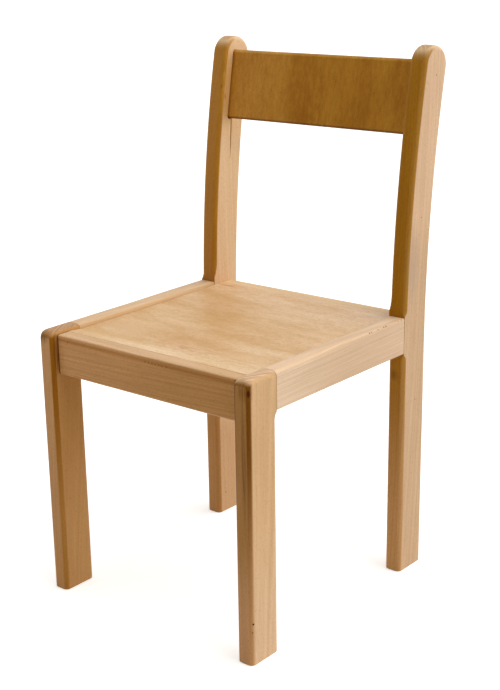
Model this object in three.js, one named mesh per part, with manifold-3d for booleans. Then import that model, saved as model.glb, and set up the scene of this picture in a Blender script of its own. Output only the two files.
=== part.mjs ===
// A plain beech choir chair: four legs, four rails, a dished seat panel and a curved-post backrest.
// Millimetres. x runs across the chair, y from its front to its back and z up from the floor.
// Everything is first laid out with y = 0 on the front faces of the front legs. The finished
// group is then moved so that the origin is on the floor, in the middle of the chair.

import * as THREE from 'three';
import { mergeVertices } from 'three/addons/utils/BufferGeometryUtils.js';
import Module from 'manifold-3d';

const wasm = await Module();
wasm.setup();

// The chair as a whole
const frameTop = 450;        // top of the side rails and front legs above the floor
const frameWidth = 430;      // over the outer faces of the legs
const postFront = 396;       // from the legs' front faces to the rear posts' front faces
const postTop = 870;         // top end of the rear posts' middle line above the floor

// Legs and posts
const stock = 30;            // thickness of legs, posts and side rails
const legDepth = 64;
const postDepth = 66;
const longRound = 8;         // rounding of the long edges of legs and posts
const topRound = 9;          // rounding of the outer and inner top edges of side rails and legs
const noseRound = 13;        // rounding of the legs' top front corners
const postTopRound = 31;     // rounding of the post tops, seen from the side
const bendStart = 400;       // height at which the posts start to curve backwards
const bendRadius = 2300;     // of the posts' front faces

// Rails
const sideRailHeight = 60;
const railThickness = 24;    // front and rear rails
const crossRailHeight = 66;
const crossRailDrop = 5;     // front and rear rails and the seat lie this far below the side rails
const frontRailSetback = 13; // behind the legs' front faces
const rearRailInset = 18;    // from the posts' rear faces to the rear rail's
const frontRailRound = 4;
const frontRailLowRound = 5;
const rearRailRound = 4;
const smallRound = 2;        // other lower edges of the rails

// The seat's tongues, which sit in saw grooves
const tongueThickness = 5;
const tongueDepth = 9;
const tongueRoot = 2;        // how far the tongues' strips run into the panel's edges
const fit = 0.3;             // clearance of glued and screwed pieces in their holes and grooves

// Seat panel
const panelThickness = 12;
const dishDepth = 4.5;
const dishFrontSlope = 34;   // from the panel's front edge to the dish's full depth
const dishRearSlope = 230;   // the long rise to the panel's rear edge
const dishSideShare = 0.5;   // share of the depth that is left at the panel's sides

// Backrest board
const boardHeight = 117;
const boardThickness = 12;
const boardDrop = 80;        // the board's middle lies this far below the post tops
const boardInset = 22;       // behind the posts' front faces
const boardBow = 4;          // how far its middle stands back from its ends
const boardRound = 5.5;
const housingDepth = 9;      // of the pockets in the posts that take the board's ends
const housingGap = 1.2;      // clearance in front of the board and below it, where it slips in

// Dowels, corner blocks and screws
const dowelRadius = 4;
const dowelLength = 40;
const dowelChamfer = 1;
const dowelHeightShares = [0.26, 0.72];   // shares of the rail's height
const blockLeg = 50;
const blockHeight = 28;
const blockPanelGap = 2;     // below the lowest point of the seat panel
const blockNose = 6;         // width of the cut corners of a block
const screwRadius = 2;
const screwHeadRadius = 4;
const screwHeadTop = 3;      // radius of the flat on top of the head
const screwHeadHeight = 2.4;
const screwLength = 45;
const screwTip = 4;
const screwInset = 14;       // from the frame face that a screw runs beside
const legScrewLift = 21;     // above the block's lower face
const railScrewLift = 10;
const overrun = 5;           // how far cutters reach past what they cut

// Places that follow from the sizes above
const halfWidth = frameWidth / 2;
const innerHalf = halfWidth - stock;
const crossTop = frameTop - crossRailDrop;
const crossBottom = crossTop - crossRailHeight;
const sideBottom = frameTop - sideRailHeight;
const rearRailBack = postFront + postDepth - rearRailInset;
const panelFront = frontRailSetback + railThickness;
const panelBack = rearRailBack - railThickness;
const boardMiddle = postTop - boardDrop;
const tongueTop = crossTop - (panelThickness - tongueThickness) / 2;
const tongueMiddle = tongueTop - tongueThickness / 2;
const blockTop = crossTop - panelThickness - dishDepth - blockPanelGap;
const blockBottom = blockTop - blockHeight;

// Facets
const roundSteps = 4;        // in a quarter turn of an edge rounding
const bendSteps = 12;        // along the posts' curve, round their tops and along the backrest
const turnSteps = 12;        // round a dowel, a screw or their holes
const dishCellsAcross = 10;
const dishCellsAlong = 28;

const beech = new THREE.MeshStandardMaterial({ color: '#d9b184', roughness: 0.5, metalness: 0 });
const seatVeneer = new THREE.MeshStandardMaterial({ color: '#dcb688', roughness: 0.45, metalness: 0 });
const backVeneer = new THREE.MeshStandardMaterial({ color: '#b98a4c', roughness: 0.45, metalness: 0 });
const dowelBeech = new THREE.MeshStandardMaterial({ color: '#cfa87c', roughness: 0.7, metalness: 0 });
const steel = new THREE.MeshStandardMaterial({ color: '#9a9a98', roughness: 0.35, metalness: 1 });

// From geometries to solids that can be joined and cut, and back

function solid(geometry) {
  const bare = geometry.clone();
  bare.deleteAttribute('normal');
  bare.deleteAttribute('uv');
  const merged = mergeVertices(bare);
  return new wasm.Manifold(new wasm.Mesh({
    numProp: 3,
    vertProperties: new Float32Array(merged.attributes.position.array),
    triVerts: new Uint32Array(merged.index.array),
  }));
}

function geometryOf(body) {
  const mesh = body.getMesh();
  const geometry = new THREE.BufferGeometry();
  geometry.setAttribute('position', new THREE.BufferAttribute(mesh.vertProperties, 3));
  geometry.setIndex(new THREE.BufferAttribute(mesh.triVerts, 1));
  geometry.computeVertexNormals();
  return geometry;
}

const cut = (body, cutters) => cutters.reduce((rest, cutter) => rest.subtract(cutter), body);

// Outlines and the bodies drawn out of them

function roundedOutline(corners, steps = roundSteps) {
  // corners: [across, up, radius], anticlockwise; a radius of 0 keeps the corner sharp
  const points = [];
  corners.forEach(([x, y, radius], i) => {
    const corner = new THREE.Vector2(x, y);
    if (!radius) {
      points.push(corner);
      return;
    }
    const before = corners[(i + corners.length - 1) % corners.length];
    const after = corners[(i + 1) % corners.length];
    const back = new THREE.Vector2(before[0], before[1]).sub(corner).normalize();
    const forth = new THREE.Vector2(after[0], after[1]).sub(corner).normalize();
    const half = Math.acos(back.dot(forth)) / 2;
    const middle = back.clone().add(forth).normalize().multiplyScalar(radius / Math.sin(half)).add(corner);
    const first = corner.clone().addScaledVector(back, radius / Math.tan(half)).sub(middle);
    for (let step = 0; step <= steps; step += 1) {
      const turn = (Math.PI - 2 * half) * step / steps;
      points.push(first.clone().rotateAround(new THREE.Vector2(), turn).add(middle));
    }
  });
  return points;
}

const rectangle = (x0, y0, x1, y1, radii = [0, 0, 0, 0]) => [
  [x0, y0, radii[0]], [x1, y0, radii[1]], [x1, y1, radii[2]], [x0, y1, radii[3]],
];

function drawn(points, length, across, up, along, steps = 1) {
  // draws an outline out along an axis; across, up and along are the axes of the outline and the pull
  const geometry = new THREE.ExtrudeGeometry(new THREE.Shape(points), {
    depth: length, bevelEnabled: false, steps,
  });
  return geometry.applyMatrix4(new THREE.Matrix4().makeBasis(across, up, along));
}

const axisX = new THREE.Vector3(1, 0, 0);
const axisY = new THREE.Vector3(0, 1, 0);
const axisZ = new THREE.Vector3(0, 0, 1);

// outline in x and y, from z0 up to z1
const upright = (points, z0, z1) => drawn(points, z1 - z0, axisX, axisY, axisZ).translate(0, 0, z0);
// outline in y and z, from x0 to x1
const crosswise = (points, x0, x1, steps) => drawn(points, x1 - x0, axisY, axisZ, axisX, steps)
  .translate(x0, 0, 0);
// outline in z and x, from y0 to y1
const lengthwise = (points, y0, y1) => drawn(points, y1 - y0, axisZ, axisX, axisY).translate(0, y0, 0);

function box(x0, y0, z0, x1, y1, z1) {
  return solid(new THREE.BoxGeometry(x1 - x0, y1 - y0, z1 - z0)
    .translate((x0 + x1) / 2, (y0 + y1) / 2, (z0 + z1) / 2));
}

function rod(radius, from, to) {
  // a round cutter between two points
  const run = to.clone().sub(from);
  const geometry = new THREE.CylinderGeometry(radius, radius, run.length(), turnSteps);
  geometry.applyQuaternion(new THREE.Quaternion().setFromUnitVectors(axisY, run.clone().normalize()));
  return solid(geometry.translate(...from.clone().addScaledVector(run, 1 / 2).toArray()));
}

// Dowels: each joint lists the middle of its joint face, the way the dowel runs and its heights

function joint(name, x, y, direction, bottom, height) {
  return dowelHeightShares.map((share, i) => ({
    name: `dowel_${name}_${['lower', 'upper'][i]}`,
    place: new THREE.Vector3(x, y, bottom + share * height),
    direction,
  }));
}

const sideMiddle = halfWidth - stock / 2;
const sides = [['left', -1], ['right', 1]];
const dowels = sides.flatMap(([side, sign]) => [
  ...joint(`front_rail_${side}`, sign * innerHalf, frontRailSetback + railThickness / 2, axisX,
    crossBottom, crossRailHeight),
  ...joint(`rear_rail_${side}`, sign * innerHalf, rearRailBack - railThickness / 2, axisX,
    crossBottom, crossRailHeight),
  ...joint(`side_rail_${side}_front`, sign * sideMiddle, legDepth, axisY, sideBottom, sideRailHeight),
  ...joint(`side_rail_${side}_rear`, sign * sideMiddle, postFront, axisY, sideBottom, sideRailHeight),
]);
const dowelHoles = dowels.map(({ place, direction }) => {
  const reach = dowelLength / 2 + fit;
  return rod(dowelRadius + fit, place.clone().addScaledVector(direction, -reach),
    place.clone().addScaledVector(direction, reach));
});

function dowelGeometry() {
  const end = dowelLength / 2;
  return new THREE.LatheGeometry([
    new THREE.Vector2(0, -end),
    new THREE.Vector2(dowelRadius - dowelChamfer, -end),
    new THREE.Vector2(dowelRadius, dowelChamfer - end),
    new THREE.Vector2(dowelRadius, end - dowelChamfer),
    new THREE.Vector2(dowelRadius - dowelChamfer, end),
    new THREE.Vector2(0, end),
  ], turnSteps);
}

// Corner blocks, each with one screw into the leg or post and one into the cross rail

const corners = sides.flatMap(([side, sign]) => [
  { name: `front_${side}`, x: sign * innerHalf, y: panelFront, inwardX: -sign, inwardY: 1 },
  { name: `rear_${side}`, x: sign * innerHalf, y: panelBack, inwardX: -sign, inwardY: -1 },
]);
const screws = corners.flatMap(({ name, x, y, inwardX, inwardY }) => {
  // how much wood lies between a screw's head, sunk below the block's slanting face, and the frame
  const wood = blockLeg - screwInset - screwHeadHeight - screwHeadRadius;
  return [
    {
      name: `screw_${name}_leg`,
      seat: new THREE.Vector3(x + inwardX * wood, y + inwardY * screwInset, blockBottom + legScrewLift),
      direction: axisX.clone().multiplyScalar(-inwardX),
    },
    {
      name: `screw_${name}_rail`,
      seat: new THREE.Vector3(x + inwardX * screwInset, y + inwardY * wood, blockBottom + railScrewLift),
      direction: axisY.clone().multiplyScalar(-inwardY),
    },
  ];
});
const screwHoles = screws.map(({ seat, direction }) => rod(
  screwRadius + fit,
  seat.clone().addScaledVector(direction, -screwHeadHeight),
  seat.clone().addScaledVector(direction, screwLength + fit),
));
const screwCounterbores = screws.map(({ seat, direction }) => rod(
  screwHeadRadius + fit,
  seat.clone().addScaledVector(direction, -blockLeg),
  seat.clone(),
));

function screwGeometry() {
  // drawn with the head's bearing face at the origin and the tip pointing along +y
  return new THREE.LatheGeometry([
    new THREE.Vector2(0, -screwHeadHeight),
    new THREE.Vector2(screwHeadTop, -screwHeadHeight),
    new THREE.Vector2(screwHeadRadius, -screwHeadHeight / 2),
    new THREE.Vector2(screwHeadRadius, 0),
    new THREE.Vector2(screwRadius, 0),
    new THREE.Vector2(screwRadius, screwLength - screwTip),
    new THREE.Vector2(0, screwLength),
  ], turnSteps);
}

function cornerBlock({ x, y, inwardX, inwardY }) {
  const outline = [[0, 0], [blockLeg, 0], [blockLeg, blockNose], [blockNose, blockLeg], [0, blockLeg]]
    .map(([a, b]) => new THREE.Vector2(x + inwardX * a, y + inwardY * b));
  if (inwardX * inwardY < 0) outline.reverse();
  return cut(solid(upright(outline, blockBottom, blockTop)), [...screwHoles, ...screwCounterbores]);
}

// The posts' line: a point a distance behind the front face and a distance up the curve

const neutralRadius = bendRadius - postDepth / 2;
const postReach = neutralRadius * Math.asin((postTop - bendStart) / neutralRadius);

function onPost(behind, upCurve) {
  if (upCurve <= 0) return new THREE.Vector2(postFront + behind, bendStart + upCurve);
  const radius = new THREE.Vector2(bendRadius - behind, 0);
  const { x, y } = radius.rotateAround(new THREE.Vector2(), upCurve / neutralRadius);
  return new THREE.Vector2(postFront + bendRadius - x, bendStart + y);
}

// The backrest's own frame: its origin is in the middle of the board's front face, leaning with the posts

const boardUpCurve = neutralRadius * Math.asin((boardMiddle - bendStart) / neutralRadius);
const boardPlace = onPost(boardInset, boardUpCurve);
const boardLean = boardUpCurve / neutralRadius;
const boardMatrix = new THREE.Matrix4().makeRotationX(-boardLean)
  .setPosition(0, boardPlace.x, boardPlace.y);

function housing(sign) {
  // a pocket in a post's inner face, drawn in the backrest's own frame
  const outline = roundedOutline(rectangle(
    -housingGap, -boardHeight / 2 - housingGap, boardThickness + fit, boardHeight / 2 + fit,
    [boardRound, boardRound, boardRound, boardRound],
  ));
  const ends = [innerHalf - overrun, innerHalf + housingDepth].map((x) => sign * x);
  return solid(crosswise(outline, Math.min(...ends), Math.max(...ends)).applyMatrix4(boardMatrix));
}

// Pieces

function frontLeg(sign) {
  const outer = sign * halfWidth;
  const inner = sign * innerHalf;
  const x0 = Math.min(outer, inner);
  const x1 = Math.max(outer, inner);
  const fromFront = solid(lengthwise(roundedOutline([
    [0, x0, 0], [frameTop, x0, topRound], [frameTop, x1, topRound], [0, x1, 0],
  ]), 0, legDepth));
  const fromSide = solid(crosswise(roundedOutline(
    rectangle(0, 0, legDepth, frameTop, [0, 0, 0, noseRound]),
  ), x0, x1));
  const upper = solid(upright(roundedOutline(
    rectangle(x0, 0, x1, legDepth, [longRound, longRound, 0, 0]),
  ), crossBottom, frameTop));
  const lower = solid(upright(roundedOutline(
    rectangle(x0, 0, x1, legDepth, [longRound, longRound, longRound, longRound]),
  ), 0, crossBottom));
  return cut(upper.add(lower).intersect(fromFront).intersect(fromSide), [...dowelHoles, ...screwHoles]);
}

function rearPost(sign) {
  const x0 = Math.min(sign * halfWidth, sign * innerHalf);
  const x1 = Math.max(sign * halfWidth, sign * innerHalf);
  const upCurve = roundedOutline([
    [0, -bendStart - longRound - overrun, 0], [postDepth, -bendStart - longRound - overrun, 0],
    [postDepth, postReach, postTopRound], [0, postReach, postTopRound],
  ], bendSteps);
  const straightTop = postReach - postTopRound;
  const outline = [];
  upCurve.forEach((point, i) => {
    outline.push(onPost(point.x, point.y));
    const next = upCurve[(i + 1) % upCurve.length];
    if (Math.abs(next.y - point.y) < straightTop) return;
    for (let step = 0; step < bendSteps; step += 1) {
      const share = next.y > point.y ? step / bendSteps : 1 - step / bendSteps;
      outline.push(onPost(point.x, share * straightTop));
    }
  });
  const body = new THREE.ExtrudeGeometry(new THREE.Shape(outline), {
    depth: stock - 2 * longRound,
    bevelEnabled: true,
    bevelThickness: longRound,
    bevelSize: longRound,
    bevelOffset: -longRound,
    bevelSegments: roundSteps,
  });
  body.applyMatrix4(new THREE.Matrix4().makeBasis(axisY, axisZ, axisX)).translate(x0 + longRound, 0, 0);
  const standing = solid(body).intersect(box(
    x0 - overrun, 0, 0, x1 + overrun, postFront + postDepth + bendRadius, postTop + overrun,
  ));
  // the front edges stay square where the side rail meets the post
  const seatJoint = box(x0, postFront, sideBottom - smallRound, x1, postFront + postDepth / 2, frameTop);
  return cut(standing.add(seatJoint), [housing(sign), ...dowelHoles, ...screwHoles]);
}

function crossRail(front, back, radii) {
  const outline = roundedOutline(rectangle(front, crossBottom, back, crossTop, radii));
  return cut(solid(crosswise(outline, -innerHalf, innerHalf)), [...dowelHoles, ...screwHoles]);
}

function seatGroove() {
  const reach = tongueDepth + fit;
  const low = tongueMiddle - tongueThickness / 2 - fit;
  const high = tongueMiddle + tongueThickness / 2 + fit;
  const sideEnds = [legDepth + tongueThickness, postFront - tongueThickness];
  const crossEnd = innerHalf - tongueThickness;
  return [
    box(-innerHalf - reach, sideEnds[0] - fit, low, innerHalf + reach, sideEnds[1] + fit, high),
    box(-crossEnd - fit, panelFront - reach, low, crossEnd + fit, panelBack + reach, high),
  ];
}

function sideRail(sign) {
  const x0 = Math.min(sign * halfWidth, sign * innerHalf);
  const x1 = Math.max(sign * halfWidth, sign * innerHalf);
  const outline = roundedOutline([
    [sideBottom, x1, smallRound], [sideBottom, x0, smallRound],
    [frameTop, x0, topRound], [frameTop, x1, topRound],
  ]);
  return cut(solid(lengthwise(outline, legDepth, postFront)), [...seatGroove(), ...dowelHoles]);
}

function dish(x, y) {
  // how far the seat's surface lies below its front and rear edges
  const down = THREE.MathUtils.smoothstep(y - panelFront, 0, dishFrontSlope);
  const up = THREE.MathUtils.smoothstep(panelBack - y, 0, dishRearSlope);
  const across = 1 - (1 - dishSideShare) * (x / innerHalf) ** 2;
  return dishDepth * down * up * across;
}

function seatPanel() {
  const geometry = new THREE.BoxGeometry(
    2 * innerHalf, panelBack - panelFront, panelThickness, dishCellsAcross, dishCellsAlong, 1,
  ).translate(0, (panelFront + panelBack) / 2, crossTop - panelThickness / 2);
  const position = geometry.attributes.position;
  for (let i = 0; i < position.count; i += 1) {
    position.setZ(i, position.getZ(i) - dish(position.getX(i), position.getY(i)));
  }
  const low = tongueMiddle - tongueThickness / 2;
  const high = tongueMiddle + tongueThickness / 2;
  const sideReach = innerHalf + tongueDepth;
  const crossEnd = innerHalf - tongueThickness;
  // the tongues are the ends of a strip from side to side and of one from front to back
  const inside = box(
    tongueRoot - innerHalf, panelFront + tongueRoot, low,
    innerHalf - tongueRoot, panelBack - tongueRoot, high,
  );
  const tongues = [
    box(-sideReach, legDepth + tongueThickness, low, sideReach, postFront - tongueThickness, high),
    box(-crossEnd, panelFront - tongueDepth, low, crossEnd, panelBack + tongueDepth, high),
  ].map((strip) => strip.subtract(inside));
  return tongues.reduce((body, tongue) => body.add(tongue), solid(geometry));
}

function backBoard() {
  // modelled in the backrest's own frame; its ends run on into the posts' housings
  const end = innerHalf + housingDepth - fit;
  const geometry = crosswise(roundedOutline(rectangle(
    0, -boardHeight / 2, boardThickness, boardHeight / 2, [boardRound, boardRound, boardRound, boardRound],
  )), -end, end, bendSteps);
  const position = geometry.attributes.position;
  for (let i = 0; i < position.count; i += 1) {
    const fromEnd = Math.max(1 - (position.getX(i) / innerHalf) ** 2, 0);
    position.setY(i, position.getY(i) + boardBow * fromEnd);
  }
  return solid(geometry);
}

// The assembly

const chair = new THREE.Group();

function place(parent, name, geometry, material) {
  const mesh = new THREE.Mesh(geometry, material);
  mesh.name = name;
  parent.add(mesh);
  return mesh;
}

for (const [side, sign] of sides) {
  place(chair, `front_leg_${side}`, geometryOf(frontLeg(sign)), beech);
  place(chair, `rear_post_${side}`, geometryOf(rearPost(sign)), beech);
  place(chair, `side_rail_${side}`, geometryOf(sideRail(sign)), beech);
}
const frontRounds = [frontRailLowRound, smallRound, 0, frontRailRound];
const rearRounds = [smallRound, smallRound, rearRailRound, 0];
const frontRail = crossRail(frontRailSetback, panelFront, frontRounds);
const rearRail = crossRail(panelBack, rearRailBack, rearRounds);
place(chair, 'front_rail', geometryOf(cut(frontRail, seatGroove())), beech);
place(chair, 'rear_rail', geometryOf(cut(rearRail, seatGroove())), beech);
place(chair, 'seat_panel', geometryOf(seatPanel()), seatVeneer);

const backrest = new THREE.Group();
backrest.rotation.x = -boardLean;
backrest.position.set(0, boardPlace.x, boardPlace.y);
place(backrest, 'back_board', geometryOf(backBoard()), backVeneer);
chair.add(backrest);

for (const corner of corners) {
  place(chair, `corner_block_${corner.name}`, geometryOf(cornerBlock(corner)), beech);
}
for (const { name, place: middle, direction } of dowels) {
  const mesh = place(chair, name, dowelGeometry(), dowelBeech);
  mesh.position.copy(middle);
  mesh.quaternion.setFromUnitVectors(axisY, direction);
}
for (const { name, seat, direction } of screws) {
  const mesh = place(chair, name, screwGeometry(), steel);
  mesh.position.copy(seat);
  mesh.quaternion.setFromUnitVectors(axisY, direction);
}

// Half the chair's depth, from the legs' front faces to the backs of the post tops
const bounds = new THREE.Box3().setFromObject(chair);
chair.position.y = -(bounds.min.y + bounds.max.y) / 2;

export default chair;
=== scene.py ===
# %% [markdown]
# # A beech choir chair, dressed for its photograph
#
# The chair already exists as a frame of plain faceted solids at its real size: legs, posts, rails, seat
# panel, backrest board, corner blocks, dowels and screws. This lesson keeps every piece where the frame
# has it, and gives it what the frame leaves out: routed edges that fade out at the joints, thin joint
# lines, a worn clear lacquer and the figure of beech.
#
# The frame comes first, because every size below is read from it.

# %% Load the frame
import math

import bmesh
import bpy
from mathutils import Matrix, Vector


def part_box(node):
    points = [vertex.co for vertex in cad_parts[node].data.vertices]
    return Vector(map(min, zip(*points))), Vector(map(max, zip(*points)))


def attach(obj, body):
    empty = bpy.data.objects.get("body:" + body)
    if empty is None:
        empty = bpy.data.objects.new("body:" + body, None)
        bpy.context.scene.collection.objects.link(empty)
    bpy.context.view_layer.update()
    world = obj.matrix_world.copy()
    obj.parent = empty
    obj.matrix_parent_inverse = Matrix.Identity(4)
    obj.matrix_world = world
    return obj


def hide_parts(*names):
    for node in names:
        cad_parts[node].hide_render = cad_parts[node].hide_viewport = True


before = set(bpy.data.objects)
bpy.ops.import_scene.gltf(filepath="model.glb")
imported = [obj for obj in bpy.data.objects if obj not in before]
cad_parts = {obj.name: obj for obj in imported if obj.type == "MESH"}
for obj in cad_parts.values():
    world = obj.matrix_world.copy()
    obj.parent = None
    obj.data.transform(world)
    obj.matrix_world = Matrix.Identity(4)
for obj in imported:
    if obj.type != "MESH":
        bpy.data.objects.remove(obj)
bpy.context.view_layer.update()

print("pieces in the frame:", len(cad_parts))

# %% [markdown]
# ## Sizes
#
# The boxes of the frame's pieces give most sizes. The roundings, the sweep of the rear posts and the
# shape of the seat's dish can't be read off a box, so they are named here once, in metres.

# %% Sizes read from the frame
leg_low, leg_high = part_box("front_leg_right")
post_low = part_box("rear_post_right")[0]
side_low, side_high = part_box("side_rail_right")
front_low, front_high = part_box("front_rail")
rear_low, rear_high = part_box("rear_rail")

HALF_WIDTH = leg_high.x
STOCK = leg_high.x - leg_low.x
INNER_HALF = HALF_WIDTH - STOCK
FRAME_TOP = leg_high.z
SEAT_TOP = front_high.z
POST_FRONT = post_low.y
CHAIR_FRONT = leg_low.y
SIDES = {"left": -1, "right": 1}
print("stock", round(STOCK, 4), "seat frame top", round(FRAME_TOP, 4), "seat top", round(SEAT_TOP, 4))

# %% Sizes of the roundings and curves
POST_DEPTH = 0.066
POST_TOP = 0.870  # top end of the posts' middle line
POST_TOP_ROUND = 0.031
BEND_START = 0.400
BEND_RADIUS = 2.300
LONG_ROUND = 0.008  # long edges of legs and posts
TOP_ROUND = 0.009  # top edges of side rails and legs
OUTER_TOP_ROUND = {"left": 0.005, "right": TOP_ROUND}  # the left outer edges were rounded less
NOSE_ROUND = 0.013  # top front corner of a leg
SMALL_ROUND = 0.002
EASED = 0.0004  # an edge that is only broken with sandpaper
JOINT_GROOVE = 0.0012  # depth of the line round the seat panel
FOOT_BEVEL = 0.0012
ROUND_STEPS = 8  # faces in a quarter turn

# %% [markdown]
# ## Camera
#
# The photograph was taken from a little above the backrest, from the chair's right front. The place,
# the turn and the lens were solved from the chair's own edges: where many edges of known length land in
# the picture leaves only one camera that fits. The shift stands for a picture that was cropped off centre.

# %% Camera
CAMERA_PLACE = Vector((1.3606, CHAIR_FRONT - 1.39282, 1.06308))
CAMERA_TURN = math.radians(40.87)
CAMERA_DIP = math.radians(18.33)
CAMERA_ROLL = math.radians(-1.36)
CAMERA_LENS = 71.42
CAMERA_SHIFT = (0.05, 0.04)

camera_data = bpy.data.cameras.new("camera")
camera_data.lens = CAMERA_LENS
camera_data.shift_x, camera_data.shift_y = CAMERA_SHIFT
camera = bpy.data.objects.new("camera", camera_data)
aim = Matrix.Rotation(CAMERA_TURN, 4, "Z") @ Matrix.Rotation(math.pi / 2 - CAMERA_DIP, 4, "X")
camera.matrix_world = Matrix.Translation(CAMERA_PLACE) @ aim @ Matrix.Rotation(CAMERA_ROLL, 4, "Z")
bpy.context.scene.collection.objects.link(camera)
bpy.context.scene.camera = camera
print("camera at", [round(value, 3) for value in CAMERA_PLACE])

# %% [markdown]
# ## Short ways to build a node material
#
# Every finish below, and the backdrop too, is a tree of nodes. A small class adds a node and feeds its
# sockets in one line, so that each tree reads as a recipe. A value is either a plain number or colour,
# or another node's output. Colours are listed as a colour picker shows them, 0 to 255.

# %% A finish under construction
def paint(colour):
    """A colour given as on a colour picker, 0 to 255, in the linear form that the shader wants."""
    def linear(value):
        share = value / 255
        return share / 12.92 if share <= 0.04045 else ((share + 0.055) / 1.055) ** 2.4
    return (*[linear(value) for value in colour], 1.0)


class Recipe:
    """The node tree of a material or of the backdrop."""

    def __init__(self, owner):
        owner.use_nodes = True
        self.nodes = owner.node_tree.nodes
        self.links = owner.node_tree.links

    def feed(self, socket, value):
        if isinstance(value, bpy.types.NodeSocket):
            self.links.new(value, socket)
        else:
            socket.default_value = value

    def add(self, kind, *values, **settings):
        node = self.nodes.new(kind)
        for name, value in settings.items():
            setattr(node, name, value)
        for socket, value in zip(node.inputs, values):
            self.feed(socket, value)
        return node

    def sums(self, operation, *values):
        return self.add("ShaderNodeMath", *values, operation=operation).outputs[0]

    def vector(self, operation, *values):
        node = self.add("ShaderNodeVectorMath", *values, operation=operation)
        return node.outputs["Value" if operation == "LENGTH" else "Vector"]

    def place(self):
        return self.add("ShaderNodeTexCoord").outputs["Object"]

    def facing(self):
        return self.add("ShaderNodeTexCoord").outputs["Normal"]

    def parts(self, vector):
        return self.add("ShaderNodeSeparateXYZ", vector).outputs

    def along(self, vector, axis):
        return self.parts(vector)["xyz".index(axis)]

    def whole(self, *parts):
        return self.add("ShaderNodeCombineXYZ", *parts).outputs[0]

    def noise(self, place, detail=2.0, socket="Vector", **settings):
        node = self.add("ShaderNodeTexNoise", **settings)
        for name, value in ((socket, place), ("Scale", 1.0), ("Detail", detail)):
            self.feed(node.inputs[name], value)
        return node.outputs[0]

    def ramp(self, value, start, end, low=0.0, high=1.0):
        node = self.add("ShaderNodeMapRange", value, start, end, low, high,
                        interpolation_type="SMOOTHSTEP")
        return node.outputs[0]

    def blend(self, share, first, second, way="MIX"):
        node = self.add("ShaderNodeMix", data_type="RGBA", blend_type=way)
        for socket, value in ((0, share), (6, first), (7, second)):
            self.feed(node.inputs[socket], value)
        return node.outputs[2]

    def bump(self, height, distance):
        node = self.add("ShaderNodeBump")
        self.feed(node.inputs["Height"], height)
        self.feed(node.inputs["Distance"], distance)
        return node.outputs[0]


class Finish(Recipe):
    """A material with its shader."""

    def __init__(self, name):
        self.material = bpy.data.materials.new(name)
        super().__init__(self.material)
        self.shader = self.nodes["Principled BSDF"]

    def surface(self, values):
        for name, value in values.items():
            self.feed(self.shader.inputs[name], value)
        return self.material


print("a finish can add nodes and feed them")

# %% [markdown]
# ## Floor, backdrop and lamps
#
# A catalogue photograph of furniture is lit by large soft sources and stands on white paper. Suns with a
# wide disc do the same here: they light the floor evenly however far it reaches, and their shadows are
# soft. The main one stands behind the chair's right, so that the right-hand faces and the tops are
# bright. Two weak ones, at the left front and overhead, only lift the shade. Little light comes from
# beside the camera, which is why the rounded edges that point at it are the darkest places.
#
# The floor is pale, and rays that come straight from the camera, or by a mirror or through glass, see it
# and the sky lifted to white. The shadow stays.

# %% Floor
WHITE = (1.0, 1.0, 1.0, 1.0)
FLOOR_PAPER = (238, 238, 237)
FLOOR_REACH = 40.0
FLOOR_DROP = 0.0002  # below the chair's feet
FLOOR_LIFT = 0.55  # added for rays that look at the paper


def sees_background(recipe):
    """1 for the rays that look at the backdrop, 0 for those that carry light."""
    path = recipe.add("ShaderNodeLightPath").outputs
    seen = recipe.sums("MAXIMUM", path["Is Camera Ray"], path["Is Glossy Ray"])
    return recipe.sums("MAXIMUM", seen, path["Is Transmission Ray"])


def floor_paper():
    finish = Finish("floor_paper")
    paper = finish.add("ShaderNodeBsdfDiffuse", paint(FLOOR_PAPER)).outputs[0]
    lift = finish.sums("MULTIPLY", sees_background(finish), FLOOR_LIFT)
    glow = finish.add("ShaderNodeEmission", WHITE, lift).outputs[0]
    both = finish.add("ShaderNodeAddShader", paper, glow).outputs[0]
    finish.feed(finish.nodes["Material Output"].inputs["Surface"], both)
    finish.nodes.remove(finish.shader)
    return finish.material


bpy.ops.mesh.primitive_plane_add(size=2 * FLOOR_REACH, location=(0, 0, -FLOOR_DROP))
floor = bpy.context.object
floor.name = "floor"
floor.data.materials.append(floor_paper())
print("floor laid")

# %% Backdrop
AMBIENT = 0.29  # the sky's strength as a lamp; the camera sees it at 1

world = bpy.data.worlds.new("studio")
bpy.context.scene.world = world
backdrop = Recipe(world)
sky = backdrop.nodes["Background"].inputs
strength = backdrop.add("ShaderNodeMapRange", sees_background(backdrop), 0.0, 1.0, AMBIENT, 1.0)
backdrop.feed(sky["Strength"], strength.outputs[0])
backdrop.feed(sky["Color"], WHITE)
print("ambient light", AMBIENT)

# %% Lamps
LAMPS = {  # azimuth, elevation and width of the disc in degrees, then strength and colour
    "key_right_behind": (128, 38, 90, 2.5, (1.0, 0.985, 0.96)),
    "fill_left_front": (-40, 25, 50, 0.25, (1.0, 0.98, 0.95)),
    "overhead": (0, 85, 50, 0.35, (1.0, 0.99, 0.97)),
}


def lamp(name, azimuth, elevation, spread, strength, colour):
    """A wide sun. Azimuth 0 stands in front of the chair and 90 at its right."""
    data = bpy.data.lights.new(name, "SUN")
    data.energy = strength
    data.angle = math.radians(spread)
    data.color = colour
    around, above = math.radians(azimuth), math.radians(elevation)
    towards = Vector((
        math.sin(around) * math.cos(above), -math.cos(around) * math.cos(above), math.sin(above),
    ))
    obj = bpy.data.objects.new(name, data)
    obj.rotation_euler = towards.to_track_quat("Z", "Y").to_euler()
    bpy.context.scene.collection.objects.link(obj)


for name, settings in LAMPS.items():
    lamp(name, *settings)
bpy.context.scene.view_settings.view_transform = "Standard"
print("soft lamps:", len(LAMPS))

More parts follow.
